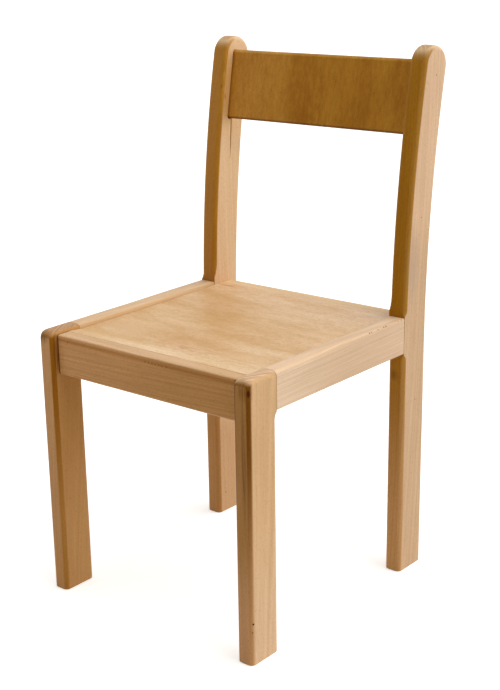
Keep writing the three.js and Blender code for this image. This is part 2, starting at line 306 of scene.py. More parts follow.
# %% [markdown]
# ## Drawing pieces in code
#
# Most members of a chair are long with one rounded section, so most meshes here are lofts: the section
# is drawn as a ring of points, again and again along the member, and faces join ring to ring. Each
# corner of a section has its own radius, which may change from ring to ring. That is how a routed edge
# can fade out in the wood. A subdivision surface would round everything alike, and a bevel modifier
# can't fade.

# %% Rings and lofts
def section(low, high, radii):
    """Points round a rectangle from its low corner, anticlockwise, each corner with its own radius."""
    corners = (
        (low[0], low[1], 1, 1), (high[0], low[1], -1, 1),
        (high[0], high[1], -1, -1), (low[0], high[1], 1, -1),
    )
    points = []
    for quarter, ((across, up, inward, upward), radius) in enumerate(zip(corners, radii)):
        for step in range(ROUND_STEPS + 1):
            turn = math.pi + math.pi / 2 * (quarter + step / ROUND_STEPS)
            points.append((
                across + radius * (inward + math.cos(turn)), up + radius * (upward + math.sin(turn)),
            ))
    return points


def loft(rings):
    """A closed skin over rings of points, with a flat face on each end."""
    skin = bmesh.new()
    rows = [[skin.verts.new(point) for point in ring] for ring in rings]
    for below, above in zip(rows, rows[1:]):
        for here, there in zip(range(len(below)), [*range(1, len(below)), 0]):
            skin.faces.new((below[here], below[there], above[there], above[here]))
    skin.faces.new(rows[0])
    skin.faces.new(rows[-1])
    return skin


def steps(start, end, count):
    return [start + (end - start) * step / count for step in range(count + 1)]


def clamped(share):
    return min(max(share, 0.0), 1.0)


def smooth(share):
    """A share that leaves 0 and reaches 1 gently."""
    share = clamped(share)
    return share * share * (3 - 2 * share)


# %% From a skin to a piece of the chair
SHARP_ANGLE = math.radians(40)


def raw_piece(name, skin):
    """An object without a finish, which can still be cut."""
    bmesh.ops.recalc_face_normals(skin, faces=skin.faces)
    data = bpy.data.meshes.new(name)
    skin.to_mesh(data)
    skin.free()
    obj = bpy.data.objects.new(name, data)
    bpy.context.scene.collection.objects.link(obj)
    return obj


def cut(obj, cutter):
    """Cuts one object with another for good, and throws the cutter away."""
    boolean = obj.modifiers.new("cut", "BOOLEAN")
    boolean.operation = "DIFFERENCE"
    boolean.solver = "EXACT"
    boolean.object = cutter
    graph = bpy.context.evaluated_depsgraph_get()
    data = bpy.data.meshes.new_from_object(obj.evaluated_get(graph))
    obj.modifiers.remove(boolean)
    obj.data = data
    bpy.data.objects.remove(cutter)


def dress(obj, node, material):
    """The object stands for a piece of the frame, in its finish."""
    obj.data.shade_smooth()
    obj.data.set_sharp_from_angle(angle=SHARP_ANGLE)
    obj.data.materials.clear()
    obj.data.materials.append(material)
    weighted = obj.modifiers.new("flat faces stay flat", "WEIGHTED_NORMAL")
    weighted.keep_sharp = True
    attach(obj, "root")
    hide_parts(node)
    low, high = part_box(node)
    print(f"{node}: {len(obj.data.vertices)} points, {[round(1000 * side, 1) for side in high - low]} mm")


# %% [markdown]
# ## Beech
#
# Beech is a pale, pinkish wood. On a lengthwise face it shows long faint streaks where the yearly rings
# are cut, and short dark flecks along the grain, the rays. On a sawn end the rings show as stripes.
#
# A picture of wood laid over the pieces would run the same way over every face. Here the pattern fills
# space instead: each member is cut out of its own log, so that a streak that runs up a face turns over
# the edge as it does in real wood. The log's axis lies outside the member, the distance from it gives
# the rings, and noise pulled out along the grain bends them.
#
# The faces of one stick don't look alike. The broad faces and the tops are paler than the narrow faces to
# the front and back. The front faces, which turn away from the lamps, are painted darker and more golden
# as painted shade, the more so high up on the posts, and faces to the back have the plain colour.
# The rounded edges beside the front faces, which point at the camera and away from the lamps, are painted
# browner still, also as painted shade. Each of these colours may change once along a member: it is given
# as its low colour, its high colour, and the two places between which it changes.

# %% Colours of beech
def steady(colour):
    """One colour from end to end."""
    return (colour, colour, 0.0, 1.0)


BEECH_FRONT = (212, 164, 112)
BEECH_BROAD = (226, 190, 150)
BEECH_TOP = (236, 204, 160)
END_GRAIN = ((216, 176, 132), (180, 132, 84))
END_SHARE = 0.8  # how much of a sawn end's colour is the end grain's
SPOT_BROWN = (96, 60, 34)
BEECH_FLECK = (0.80, 0.72, 0.64, 1.0)
JOINT_DIRT = (0.52, 0.40, 0.24)
JOINT_LINE = 0.0007  # how far the dirt reaches from a joint
STREAK_LIGHT = (0.04, 0.04, 0.04)  # how much lighter a pale streak is, in red, green and blue
STREAK_DARK = (0.10, 0.13, 0.17)  # how much darker a dark one is


# %% The log
GRAIN_ORDER = {"x": (1, 2, 0), "y": (0, 2, 1), "z": (0, 1, 2)}
LOG_STEP = 1.7  # seeds this far apart give unlike logs
LOG_SHIFT = (0.37, -0.53, 0.71)  # where a member lies in its log, in metres for a seed of 1
LOG_TILT = (2.5, 2.0)  # degrees at most between the log's axis and the member's
LOG_SPIN = 0.9  # radians about its axis, for a seed of 1
PITH_AWAY = (0.09, 0.05)  # from the member to the middle of its log
RING_SPACING = 0.0035
RING_WAVE = 0.012  # how far the wave moves a ring
WAVE = (0.060, 0.500)  # sizes in the pattern, across and along the grain
STREAKS = (0.0016, 0.120)
PATCHES = (0.050, 0.260)
RAYS = (0.0011, 0.0040)
BEECH_WEIGHTS = (0.7, 0.6, 0.8)  # of rings, streaks and patches
FIGURE_RANGE = (0.1, 0.9)
RAY_RANGE = (0.52, 0.70)  # where a noise begins to count as a ray, and where it is one
MIDDLE = (0.3, 0.7)  # where most of a noise lies


def grain_place(finish, along, seed):
    """The place in the log: two ways across the grain, then along it."""
    parts = finish.parts(finish.place())
    turned = finish.whole(*[parts[axis] for axis in GRAIN_ORDER[along]])
    mapping = finish.add("ShaderNodeMapping", turned)
    mapping.inputs["Location"].default_value = [shift * seed for shift in LOG_SHIFT]
    mapping.inputs["Rotation"].default_value = (
        math.radians(LOG_TILT[0] * math.sin(seed)), math.radians(LOG_TILT[1] * math.cos(2 * seed)),
        LOG_SPIN * seed,
    )
    return mapping.outputs[0]


def grain_noise(finish, place, size, detail=2.0):
    """Noise whose grains have this size in metres, across the wood's grain and along it."""
    across, along = size
    return finish.noise(finish.vector("MULTIPLY", place, (1 / across, 1 / across, 1 / along)), detail)


def ring_streaks(finish, place, seed):
    """Yearly rings round a pith outside the member, 0 to 1."""
    pith = [shift * seed + away for shift, away in zip(LOG_SHIFT, PITH_AWAY)]
    wave = grain_noise(finish, place, WAVE, 1.0)
    parts = finish.parts(place)
    flat = finish.whole(parts[0], parts[1], 0.0)
    radius = finish.vector("LENGTH", finish.vector("SUBTRACT", flat, (*pith, 0.0)))
    wavy = finish.sums("MULTIPLY_ADD", wave, RING_WAVE, radius)
    return finish.noise(finish.sums("DIVIDE", wavy, RING_SPACING), socket="W", noise_dimensions="1D")


def ray_flecks(finish, place):
    return finish.ramp(grain_noise(finish, place, RAYS, 1.0), *RAY_RANGE)


def figure_of(finish, layers):
    """Adds noises round a middle of 0.5, each with its own weight, and maps them to 0 to 1."""
    figure = 0.5
    for layer, weight in layers:
        figure = finish.sums("MULTIPLY_ADD", finish.sums("SUBTRACT", layer, 0.5), weight, figure)
    return finish.ramp(figure, *FIGURE_RANGE)


# %% Tints and marks: wear, dirt and painted shade
STREAKED_REACH = 0.010
STREAKED_SHARE = (0.35, 0.65, 0.25, 1.0)  # what is left of a mark, 0.25 to 1, by the streak it lies on
SOLID_SHARE = 0.4  # of a small mark's reach


def tinted(finish, colour, tints):
    """The colour times tints of red, green and blue.

    Each sets in along an axis, from one place to another.
    """
    for axis, start, end, tint in tints:
        share = finish.ramp(finish.along(finish.place(), axis), start, end)
        colour = finish.blend(share, colour, (*tint, 1.0), "MULTIPLY")
    return colour


def marked(finish, colour, marks, streaks):
    """The colour with marks on it. A mark has a centre, a reach along each axis and a colour.

    Marks longer than a few millimetres are broken up between the streaks of the grain.
    """
    streaked = finish.ramp(streaks, *STREAKED_SHARE)
    for centre, reach, mark in marks:
        away = finish.vector("DIVIDE", finish.vector("SUBTRACT", finish.place(), centre), reach)
        distance = finish.vector("LENGTH", away)
        if max(reach) > STREAKED_REACH:
            share = finish.sums("MULTIPLY", finish.ramp(distance, 1.0, 0.0), streaked)
        else:
            share = finish.ramp(distance, 1.0, SOLID_SHARE)
        colour = finish.blend(share, colour, paint(mark))
    return colour


def blot(x, behind, z, reach, colour):
    """A mark that lies this far behind the legs' front faces."""
    return (x, CHAIR_FRONT + behind, z), reach, colour


def spot(x, behind, z, radius, colour=SPOT_BROWN):
    """A small dent or dot."""
    return blot(x, behind, z, (radius,) * 3, colour)


# %% Beech, face by face
FACE_ON = (0.30, 0.95)  # how squarely a face looks at an axis when its colour starts and is full
ON_EDGE = (1.00, 0.88)  # the same for an edge's colour, which ends where the front begins
BELOW_TOP = (0.95, 0.10)  # it also fades out where the piece rounds over to its top
END_ON = (0.75, 0.98)  # how squarely a sawn end looks along the piece
END_RINGS = (0.40, 0.60)


# The front and edge colours that the pieces give here are painted shade, for faces turned away from the
# lamps.
def face_colours(finish, along, front, broad, top, edge, edge_reach):
    """The colour before the figure, from the way the surface faces and the place along the member.

    The edge colour covers the roundings beside the front face. Its reach says how far round towards
    the broad face it stays full, at both ends of its own range: 0 is all the way and 1 is not at all.
    """
    facing = finish.parts(finish.facing())
    place = finish.along(finish.place(), along)

    def here(colours):
        low, high, start, end = colours
        return finish.blend(finish.ramp(place, start, end), paint(low), paint(high))

    frontal = finish.sums("MULTIPLY", facing[1], -1.0)
    colour = finish.blend(finish.ramp(frontal, *FACE_ON), here(broad), here(front))
    colour = finish.blend(finish.ramp(facing[1], *FACE_ON), colour, paint(BEECH_FRONT))
    colour = finish.blend(finish.ramp(facing[2], *FACE_ON), colour, paint(top))
    if edge:
        full_at = finish.ramp(place, edge[2], edge[3], *edge_reach)
        share = finish.sums("MULTIPLY", finish.ramp(frontal, 0.0, full_at), finish.ramp(frontal, *ON_EDGE))
        share = finish.sums("MULTIPLY", share, finish.ramp(facing[2], *BELOW_TOP))
        colour = finish.blend(share, colour, here(edge))
    return colour


GLOSS = 0.15  # the shader's specular level: the lacquer is worn satin
GLOSS_TINT = (1.0, 0.80, 0.45, 1.0)
FLECK_RELIEF = -0.6  # flecks lie deeper than the fibres round them
BEECH_RELIEF = 0.00006
LACQUERED = (0.40, 0.50)  # roughness
UNLACQUERED = 0.75


def wood_surface(finish, colour, roughness, flecks, fibres, relief):
    height = finish.sums("MULTIPLY_ADD", flecks, FLECK_RELIEF, fibres)
    return finish.surface({
        "Base Color": colour, "Roughness": roughness, "Specular IOR Level": GLOSS,
        "Specular Tint": GLOSS_TINT, "Normal": finish.bump(height, relief),
    })


def beech(name, along, seed, front=steady(BEECH_FRONT), broad=steady(BEECH_BROAD), top=BEECH_TOP,
          edge=None, edge_reach=(0.25, 0.25), ends=END_GRAIN, contrast=1.0, fleck_share=0.6,
          tints=(), marks=(), lacquered=True):
    finish = Finish(name)
    place = grain_place(finish, along, seed)
    rings = ring_streaks(finish, place, seed)
    streaks = grain_noise(finish, place, STREAKS)
    patches = grain_noise(finish, place, PATCHES)
    figure = figure_of(finish, zip((rings, streaks, patches), BEECH_WEIGHTS))
    colour = tinted(finish, face_colours(finish, along, front, broad, top, edge, edge_reach), tints)
    light = [1 + contrast * change for change in STREAK_LIGHT] + [1.0]
    dark = [1 - contrast * change for change in STREAK_DARK] + [1.0]
    colour = finish.blend(1.0, colour, finish.blend(figure, light, dark), "MULTIPLY")
    flecks = ray_flecks(finish, place)
    colour = finish.blend(finish.sums("MULTIPLY", flecks, fleck_share), colour, BEECH_FLECK, "MULTIPLY")

    end_on = finish.sums("ABSOLUTE", finish.along(finish.facing(), along))
    ringed = finish.blend(finish.ramp(rings, *END_RINGS), *map(paint, ends))
    colour = finish.blend(finish.sums("MULTIPLY", finish.ramp(end_on, *END_ON), END_SHARE), colour, ringed)
    roughness = finish.ramp(patches, *MIDDLE, *LACQUERED) if lacquered else UNLACQUERED
    colour = marked(finish, colour, marks, streaks)
    return wood_surface(finish, colour, roughness, flecks, streaks, BEECH_RELIEF)


print("beech mixed")

# %% [markdown]
# ## Routed edges
#
# The long edges of legs and posts were rounded with a router: a cutter with a ball bearing that rolls
# along the face. Where a rail joins, the edge has to stay square, so the router stopped short of it and
# left the half-moon end of its round cutter. How much rounding is left beyond the stop follows from the
# cutter's circle: it falls off slowly at first, then quickly.

# %% Where the router stopped
BEARING = 0.00635  # radius of the bearing that guides the cutter
RUN_OUT = math.sqrt(LONG_ROUND ** 2 + 2 * BEARING * LONG_ROUND)
RUN_OUT_STEPS = 10
LIFTED_RUN_OUT = 0.028  # where the router was tilted out slowly
JOINT_CLEAR = 0.002  # square edge left beside a joint
RAIL_BOTTOM = side_low.z
STOP_BELOW = RAIL_BOTTOM - JOINT_CLEAR - RUN_OUT


def routed(past_stop, length=RUN_OUT):
    """Radius that is left this far past the place where the router stopped."""
    share = clamped(past_stop / length)
    left = math.sqrt((BEARING + LONG_ROUND) ** 2 - (share * RUN_OUT) ** 2) - BEARING
    return max(left, EASED)


print("a run-out is", round(1000 * RUN_OUT, 1), "mm long")

# %% [markdown]
# ## Front legs
#
# A front leg stands with its narrow face forward. Its top is flush with the side rail and rounded with
# it on both sides, and the top front corner is rounded further, like a nose. Its rear edges are square
# beside the rail. All of this fits one loft from the floor to the top: each ring is narrower where the
# top rounds over, and its rear corners have the radius that the router left at that height.

# %% Front legs
NOSE_STEPS = 16


def drawn_in(radius, below_top):
    """How far a rounded edge lies inside the square one, this far below the top."""
    if below_top >= radius:
        return 0.0
    return radius - math.sqrt(max(radius ** 2 - (radius - below_top) ** 2, 0.0))


def leg_skin(side):
    sign = SIDES[side]
    low_x, high_x = sorted((sign * HALF_WIDTH, sign * INNER_HALF))
    nose = [FRAME_TOP - NOSE_ROUND * (1 - math.sin(turn)) for turn in steps(0.0, math.pi / 2, NOSE_STEPS)]
    heights = [0.0, *steps(FOOT_BEVEL / 2, FOOT_BEVEL, 1),
               *steps(STOP_BELOW, STOP_BELOW + RUN_OUT, RUN_OUT_STEPS), RAIL_BOTTOM, *nose]
    rings = []
    for height in heights:
        foot = max(FOOT_BEVEL - height, 0.0)
        outer_in = drawn_in(OUTER_TOP_ROUND[side], FRAME_TOP - height) + foot
        inner_in = drawn_in(TOP_ROUND, FRAME_TOP - height) + foot
        low_in, high_in = (outer_in, inner_in) if sign < 0 else (inner_in, outer_in)
        nose_in = drawn_in(NOSE_ROUND, FRAME_TOP - height) + foot
        front = min(LONG_ROUND, (STOCK - low_in - high_in) / 2 - EASED)
        rear = routed(height - STOP_BELOW)
        outline = section(
            (low_x + low_in, leg_low.y + nose_in), (high_x - high_in, leg_high.y - foot),
            (front, front, rear, rear),
        )
        rings.append([(x, y, height) for x, y in outline])
    return loft(rings)


# The legs' front and edge colours are painted shade, on faces turned away from the lamps. The left leg's
# broad colour is painted shade as well: it is the colour of its inner face, in the shade under the seat.
LEG_WOOD = {
    "left": {
        "front": ((200, 145, 88), (199, 149, 99), 0.02, 0.14),
        "broad": ((193, 146, 92), (182, 132, 72), 0.08, 0.36),
        "edge": ((182, 127, 60), (147, 90, 8), 0.12, 0.38),
        "top": (196, 150, 100),
        "ends": ((204, 160, 116), (172, 124, 82)),
        "tints": (("x", -0.2130, -0.2147, (1.50, 1.93, 3.50)),),  # the outer face without the painted shade of the inner face
        "marks": (
            blot(-0.2060, 0.0020, 0.4420, (0.020, 0.016, 0.016), (104, 64, 18)),
            # Painted shade down the inner front corner, which points at the camera.
            blot(-0.1850, 0.0100, 0.4160, (0.006, 0.007, 0.052), (96, 50, 6)),
        ),
    },
    "right": {
        "front": ((201, 152, 106), (170, 122, 67), 0.07, 0.21),
        "broad": ((216, 182, 146), (212, 174, 130), 0.00, 0.30),
        "edge": ((215, 162, 108), (116, 66, 1), -0.09, 0.39),
        "edge_reach": (0.90, 0.50),
        "top": (222, 182, 138),
        "ends": ((236, 206, 170), (206, 158, 122)),
        "contrast": 1.5,
        "marks": (
            spot(0.2142, 0.0045, 0.0702, 0.0022, (48, 20, 8)), spot(0.2135, 0.0034, 0.0563, 0.0015),
            spot(0.1880, 0.0018, 0.0190, 0.0014),
            # Painted shade on the nose beside the front corner, and down the front corner, which points at
            # the camera.
            blot(0.2080, 0.0020, 0.4330, (0.020, 0.012, 0.022), (116, 70, 4)),
            blot(0.2045, 0.0000, 0.3300, (0.006, 0.006, 0.150), (104, 58, 8)),
            blot(0.2128, 0.0025, 0.4316, (0.0036, 0.0036, 0.0078), (70, 16, 0)),
        ),
    },
}

for seed, side in enumerate(SIDES, start=1):
    leg = raw_piece(f"leg_front_{side}", leg_skin(side))
    wood = beech(f"beech_leg_{side}", "z", LOG_STEP * seed, **LEG_WOOD[side])
    dress(leg, f"front_leg_{side}", wood)

# %% [markdown]
# ## Side rails
#
# The side rails are as thick as the legs and run between leg and post. Both top edges are rounded, the
# left rail's outer one less than the others. At the leg they follow its rounding, and towards the post,
# which stands square on the rail, they grow sharper: the outer edge over the rear half, the inner one
# just before the post. The ends are eased by a fraction of a millimetre, as the joints of a lacquered
# chair are, which draws the thin line where rail meets leg.

# %% Straight members
def member(axis, stations, low, high, radii_at):
    """A straight member along x or y. A station is a place and how far the section is drawn in there."""
    rings = []
    for place, inset in stations:
        outline = section(
            (low[0] + inset, low[1] + inset), (high[0] - inset, high[1] - inset),
            [max(radius - inset, EASED / 4) for radius in radii_at(place)],
        )
        rings.append([
            (place, across, up) if axis == "x" else (across, place, up) for across, up in outline
        ])
    return loft(rings)


def eased_ends(start, end, between=()):
    """Stations of a member whose ends are eased."""
    return [(start, EASED), (start + EASED, 0.0), *[(place, 0.0) for place in between],
            (end - EASED, 0.0), (end, EASED)]


# %% Side rails
SHARPER_ROUND = 0.0025  # what is left of the outer top rounding at the post
OUTER_FADE = (0.120, 0.270)  # along the rail, from the leg
INNER_FADE = 0.030  # before the post
FADE_STATIONS = (0.8, 0.65, 0.5, 0.35, 0.2)  # of the inner fade, before the post
RAIL_STEPS = 30


def side_rail_skin(side):
    sign = SIDES[side]
    low_x, high_x = sorted((sign * HALF_WIDTH, sign * INNER_HALF))
    full = OUTER_TOP_ROUND[side]
    start, end = OUTER_FADE

    def radii_at(place):
        outer = full + (SHARPER_ROUND - full) * smooth((place - side_low.y - start) / (end - start))
        past = clamped((place - side_high.y + INNER_FADE) / INNER_FADE)
        inner = TOP_ROUND + (SHARPER_ROUND - TOP_ROUND) * past ** 2
        return (SMALL_ROUND, SMALL_ROUND, *((outer, inner) if sign > 0 else (inner, outer)))

    between = steps(side_low.y, side_high.y, RAIL_STEPS)[1:-1]
    between += [side_high.y - share * INNER_FADE for share in FADE_STATIONS]
    return member("y", eased_ends(side_low.y, side_high.y, sorted(between)),
                  (low_x, side_low.z), (high_x, side_high.z), radii_at)


def joint_line(axis, place, inward, dirt=JOINT_DIRT):
    """Tint for the dirt in a joint. The member lies to this side: 1 is up the axis and -1 is down it."""
    return (axis, place + inward * JOINT_LINE, place + inward * JOINT_LINE / 2, dirt)


def joint_lines(axis, start, end):
    """The same for both ends of a member."""
    return joint_line(axis, start, 1), joint_line(axis, end, -1)


SCUFF = (120, 66, 34)
SCUFFS = (  # on the right rail's top edge before the post: how far behind the legs' fronts, radius
    (0.2990, 0.0018), (0.3040, 0.0016), (0.3220, 0.0014), (0.3380, 0.0018), (0.3440, 0.0020),
    (0.3790, 0.0012), (0.3880, 0.0014),
)
SIDE_RAIL_JOINTS = joint_lines("y", side_low.y, side_high.y)
SIDE_RAIL_WOOD = {
    "left": {
        "top": (231, 197, 158),
        "tints": (("x", -0.1905, -0.1860, (0.84, 0.78, 0.68)), *SIDE_RAIL_JOINTS),
        "marks": (spot(-0.1860, 0.2269, 0.4480, 0.0018, (60, 30, 24)),),
    },
    "right": {
        "top": (240, 208, 174),
        "broad": ((224, 197, 168), (218, 188, 158), -0.20, 0.00),
        "tints": SIDE_RAIL_JOINTS,
        "marks": [spot(0.2140, behind, 0.4493, radius, SCUFF) for behind, radius in SCUFFS],
    },
}

for seed, side in enumerate(SIDES, start=3):
    rail = raw_piece(f"rail_{side}", side_rail_skin(side))
    wood = beech(f"beech_rail_{side}", "y", LOG_STEP * seed, contrast=1.6, fleck_share=0.3,
                 **SIDE_RAIL_WOOD[side])
    dress(rail, f"side_rail_{side}", wood)

# %% [markdown]
# ## Front and rear rails
#
# These two are thinner and lie 5 mm lower, level with the seat. The front rail is set back from the
# legs' faces, and its lower front edge is rounder than the upper. The rear rail's top is rounded
# towards the back.

# %% Front and rear rails
FRONT_RAIL_ROUND = 0.003
FRONT_RAIL_LOW_ROUND = 0.005
REAR_RAIL_ROUND = 0.004
FRONT_RAIL_LOG = 8.9
REAR_RAIL_LOG = 10.3
NICKS = (0.0052, 0.0124, 0.0195, 0.0256, 0.0327, 0.0397, 0.0487)  # in a row right of the middle
FRONT_RAIL_WOOD = {
    "front": ((207, 154, 101), (187, 137, 81), -0.17, 0.17),
    "top": (226, 186, 142),
    "tints": (
        # Near black at the left end: painted shade in the gap beside the leg.
        ("x", 0.0030 - INNER_HALF, 0.0014 - INNER_HALF, (0.34, 0.22, 0.05)),
        ("x", INNER_HALF - 0.0010, INNER_HALF - 0.0004, (0.86, 0.78, 0.58)),
        ("z", 0.4330, 0.4370, (0.80, 0.68, 0.50)),  # a dirty line under the rounding
        ("z", 0.4385, 0.4425, (1.25, 1.47, 2.00)),  # and its end
    ),
    "marks": (
        spot(-0.1620, 0.0130, 0.4365, 0.0016), spot(0.1803, 0.0135, 0.4425, 0.0018),
        *(spot(x, 0.0130, 0.4366, 0.0014) for x in NICKS),
    ),
    "contrast": 1.7,
    "fleck_share": 0.7,
}


def cross_rail(name, low, high, radii):
    return raw_piece(name, member("x", eased_ends(low.x, high.x), (low.y, low.z), (high.y, high.z),
                                  lambda place: radii))


front_rail = cross_rail("rail_front", front_low, front_high,
                        (FRONT_RAIL_LOW_ROUND, SMALL_ROUND, EASED, FRONT_RAIL_ROUND))
dress(front_rail, "front_rail", beech("beech_rail_front", "x", FRONT_RAIL_LOG, **FRONT_RAIL_WOOD))
rear_rail = cross_rail("rail_rear", rear_low, rear_high, (SMALL_ROUND, SMALL_ROUND, REAR_RAIL_ROUND, EASED))
dress(rear_rail, "rear_rail", beech("beech_rail_rear", "x", REAR_RAIL_LOG))

# %% [markdown]
# ## Rear posts
#
# A rear post is one piece from the floor to its rounded top. It is straight up to the seat and then
# sweeps back on a wide arc. The router went round its whole outline, so the 8 mm rounding follows the
# half-round top as well. Rings along the post can't turn over that top, so this skin runs the other way:
# stations go up the front, over the top and down the back, and at each station a strip of points goes
# from one side face, round the edge, across, and round the other edge.

# %% The sweep of a post
NEUTRAL_RADIUS = BEND_RADIUS - POST_DEPTH / 2
POST_REACH = NEUTRAL_RADIUS * math.asin((POST_TOP - BEND_START) / NEUTRAL_RADIUS)
ROUND_START = POST_REACH - POST_TOP_ROUND  # up the curve, where the rounded top begins


def on_post(behind, up):
    """(y, z) of a point that lies behind the post's front face and up its curve from the bend."""
    if up <= 0:
        return POST_FRONT + behind, BEND_START + up
    turn = up / NEUTRAL_RADIUS
    reach = BEND_RADIUS - behind
    return POST_FRONT + BEND_RADIUS - reach * math.cos(turn), BEND_START + reach * math.sin(turn)


# %% The edge radii of a post
INNER_STOP = 0.457  # height at which the inner front edge's rounding ends above the seat
OUTER_STOP = FRAME_TOP + 0.0005


def post_radius(height, is_front, is_inner):
    """Radius of one of a post's edges. The front ones are square beside the side rail."""
    if not is_front:
        return LONG_ROUND
    if height < RAIL_BOTTOM:
        return routed(height - STOP_BELOW)
    lowest, length = (INNER_STOP, LIFTED_RUN_OUT) if is_inner else (OUTER_STOP, RUN_OUT)
    return routed(lowest + length - height, length)


# %% Rear posts
STOP_STEPS = 8  # where the roundings stop: at the outer edge, then at the inner one
LIFTED_STEPS = 6
SWEEP_STEPS = 34
OVER_TOP_STEPS = 20


def post_stations():
    """(up the curve, turn over the round top), from the foot up the front to the middle of the top."""
    heights = [
        *steps(0.0, FOOT_BEVEL, 2), *steps(STOP_BELOW, STOP_BELOW + RUN_OUT, RUN_OUT_STEPS), RAIL_BOTTOM,
        *steps(OUTER_STOP, OUTER_STOP + RUN_OUT, STOP_STEPS),
        *steps(INNER_STOP + RUN_OUT, INNER_STOP + LIFTED_RUN_OUT, LIFTED_STEPS),
    ]
    ups = [height - BEND_START for height in heights]
    ups += steps(ups[-1], ROUND_START, SWEEP_STEPS)[1:]
    turns = steps(0.0, math.pi / 2, OVER_TOP_STEPS)[1:]
    return [(up, 0.0) for up in ups] + [(ROUND_START, turn) for turn in turns]


def post_strip(sign, station, is_front):
    """Points across a post at one station, from its outer side face to its inner one."""
    up, over = station
    height = BEND_START + up
    foot = max(FOOT_BEVEL - height, 0.0)
    strip = []
    for is_inner in (False, True):
        radius = post_radius(height, is_front, is_inner)
        face = sign * (INNER_HALF if is_inner else HALF_WIDTH)
        towards = sign if is_inner else -sign
        turns = steps(0.0, math.pi / 2, ROUND_STEPS)
        for turn in (reversed(turns) if is_inner else turns):
            inset = foot + radius * (1 - math.sin(turn))
            behind = POST_TOP_ROUND - (POST_TOP_ROUND - inset) * math.cos(over)
            y, z = on_post(behind if is_front else POST_DEPTH - behind,
                           up + (POST_TOP_ROUND - inset) * math.sin(over))
            strip.append((face + towards * (foot + radius * (1 - math.cos(turn))), y, z))
    return strip


def post_skin(sign):
    stations = post_stations()
    skin = bmesh.new()
    strips = [
        [skin.verts.new(point) for point in post_strip(sign, station, is_front)]
        for is_front, row in ((True, stations), (False, stations[::-1])) for station in row
    ]
    for here, there in zip(strips, strips[1:]):
        for i in range(len(here) - 1):
            skin.faces.new((here[i], here[i + 1], there[i + 1], there[i]))
    for edge in (0, -1):
        for i in range(len(stations) - 1):
            front, back = strips[i], strips[-1 - i]
            above, beyond = strips[i + 1], strips[-2 - i]
            skin.faces.new((front[edge], above[edge], beyond[edge], back[edge]))
    skin.faces.new([*strips[0], *reversed(strips[-1])])
    return skin


# %% [markdown]
# ## Housings for the backrest
#
# The backrest board isn't screwed on: its ends sit in pockets cut into the posts' inner faces. A pocket
# is a little larger than the board in front and below, so that the board could be slipped in, and that
# gap is the black line round the board's end. The cutter is the board's own section, made larger and
# drawn through the post's face in the board's own leaning frame.

# %% The backrest's own frame
BOARD_HEIGHT = 0.117
BOARD_THICKNESS = 0.012
BOARD_MIDDLE = 0.790
BOARD_INSET = 0.022  # behind the posts' front faces
BOARD_BOW = 0.004
BOARD_ROUND = 0.0055

board_up = NEUTRAL_RADIUS * math.asin((BOARD_MIDDLE - BEND_START) / NEUTRAL_RADIUS)
board_lean = board_up / NEUTRAL_RADIUS
board_y, board_z = on_post(BOARD_INSET, board_up)
board_frame = Matrix.Translation((0.0, board_y, board_z)) @ Matrix.Rotation(-board_lean, 4, "X")
print("the backrest leans by", round(math.degrees(board_lean), 1), "degrees")

# %% Housings
HOUSING_DEPTH = 0.009
HOUSING_GAP = 0.0012  # in front of the board and below it
FIT = 0.0003  # elsewhere
OVERRUN = 0.005  # how far a cutter reaches past what it cuts


def housing_cutter(sign):
    outline = section(
        (-HOUSING_GAP, -BOARD_HEIGHT / 2 - HOUSING_GAP), (BOARD_THICKNESS + FIT, BOARD_HEIGHT / 2 + FIT),
        [BOARD_ROUND] * 4,
    )
    rings = [
        [board_frame @ Vector((sign * x, behind, up)) for behind, up in outline]
        for x in (INNER_HALF - OVERRUN, INNER_HALF + HOUSING_DEPTH)
    ]
    return raw_piece("housing", loft(rings))


# %% [markdown]
# ## A drying crack
#
# Below the board, the left post has split a little along its grain, as beech does beside a cut that
# lets it dry, and dirt has settled deep in it. The crack is cut as a slim wedge that is widest above
# its middle, because a line in the colour alone would lie flat on the wood.

# %% The crack in the left post
CRACK_TOP = Vector((-INNER_HALF, CHAIR_FRONT + 0.4532, 0.7560))
CRACK_BOTTOM = Vector((-INNER_HALF, CHAIR_FRONT + 0.4463, 0.6640))
CRACK_WIDTH = 0.0026
CRACK_END_SHARE = 0.06  # of the width, left at both ends
CRACK_SWELL = (0.8, 0.7)  # below 1, the first moves the widest place up and the second makes it longer
CRACK_DEPTH = 0.008
CRACK_PROUD = 0.0005  # how far the wedge stands out of the face
CRACK_STEPS = 16


def crack_cutter():
    rings = []
    for share in steps(0.0, 1.0, CRACK_STEPS):
        place = CRACK_TOP.lerp(CRACK_BOTTOM, share)
        swell = math.sin(math.pi * share ** CRACK_SWELL[0]) ** CRACK_SWELL[1]
        half = CRACK_WIDTH / 2 * (CRACK_END_SHARE + (1 - CRACK_END_SHARE) * swell)
        rings.append([
            place + Vector((CRACK_PROUD, -half, 0.0)), place + Vector((CRACK_PROUD, half, 0.0)),
            place + Vector((-CRACK_DEPTH, 0.0, 0.0)),
        ])
    return raw_piece("crack", loft(rings))
